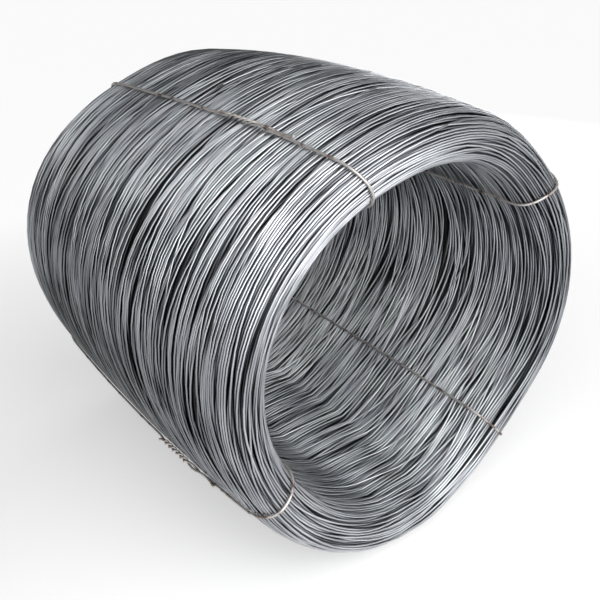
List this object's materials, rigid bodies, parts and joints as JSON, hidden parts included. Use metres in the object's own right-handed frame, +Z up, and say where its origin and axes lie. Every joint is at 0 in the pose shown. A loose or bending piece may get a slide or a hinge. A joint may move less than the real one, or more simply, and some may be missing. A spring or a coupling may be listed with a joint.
{
  "type": "coil of wire rod",
  "caption": "Coil of hot-rolled steel wire rod lying on its side, its loose turns held by tie wires twisted shut on the outside, open through its bore.",
  "frame": {"origin": "on the floor under the middle of the coil's axis, on the settled underside", "axes": "+Z up, Y along the coil's axis with the near end facing -Y, +X to the right of someone who looks into the near end"},
  "size_m": [1.2204, 1.255, 1.2031],
  "materials": {
    "wire_rod": "bright steel rod with a thin grey scale, each turn catching its own streak of light",
    "tie_wire": "soft annealed steel wire, dull warm grey with a little rust at the twist"
  },
  "bodies": {
    "root": {"rod_coil": "wire_rod", "tie_wire_top": "tie_wire", "tie_wire_right": "tie_wire", "tie_wire_lower_right": "tie_wire", "tie_wire_left": "tie_wire"}
  },
  "joints": []
}
